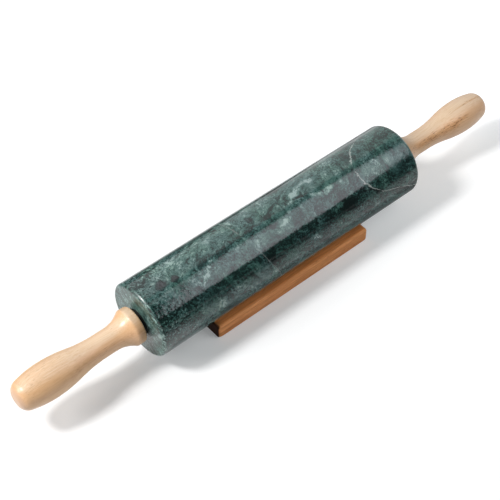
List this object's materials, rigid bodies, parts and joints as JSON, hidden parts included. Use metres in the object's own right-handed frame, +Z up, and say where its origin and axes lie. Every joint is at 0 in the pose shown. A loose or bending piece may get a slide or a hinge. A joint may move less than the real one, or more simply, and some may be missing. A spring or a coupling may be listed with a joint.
{
  "type": "marble rolling pin",
  "caption": "Rolling pin with a polished green stone barrel that turns on a steel axle between turned wooden handles, lying in a troughed wooden cradle.",
  "frame": {"origin": "centre of the cradle's underside, on the surface it stands on", "axes": "+X along the pin, +Y across the cradle, +Z up"},
  "size_m": [0.461, 0.06, 0.0673],
  "materials": {
    "green_marble": "polished, mottled dark green with pale veins",
    "black_nylon": "moulded, satin",
    "axle_steel": "drawn bar",
    "washer_steel": "stamped, dull",
    "insert_brass": "machined",
    "handle_wood": "clear lacquer over pale wood",
    "cradle_wood": "reddish brown, satin lacquer"
  },
  "bodies": {
    "cradle": {"cradle": "cradle_wood"},
    "spindle": {"axle_rod": "axle_steel", "left_washer": "washer_steel", "right_washer": "washer_steel", "left_insert": "insert_brass", "right_insert": "insert_brass", "left_handle": "handle_wood", "right_handle": "handle_wood"},
    "barrel": {"marble_barrel": "green_marble", "left_bush": "black_nylon", "right_bush": "black_nylon"}
  },
  "joints": [
    {"name": "lift_out", "type": "slide", "parent": "cradle", "child": "spindle", "axis": [0, 0, 1], "range_m": [0, 0.12]},
    {"name": "barrel_roll", "type": "hinge", "parent": "spindle", "child": "barrel", "pos_m": [0, 0, 0.0373], "axis": [1, 0, 0], "continuous": true}
  ]
}
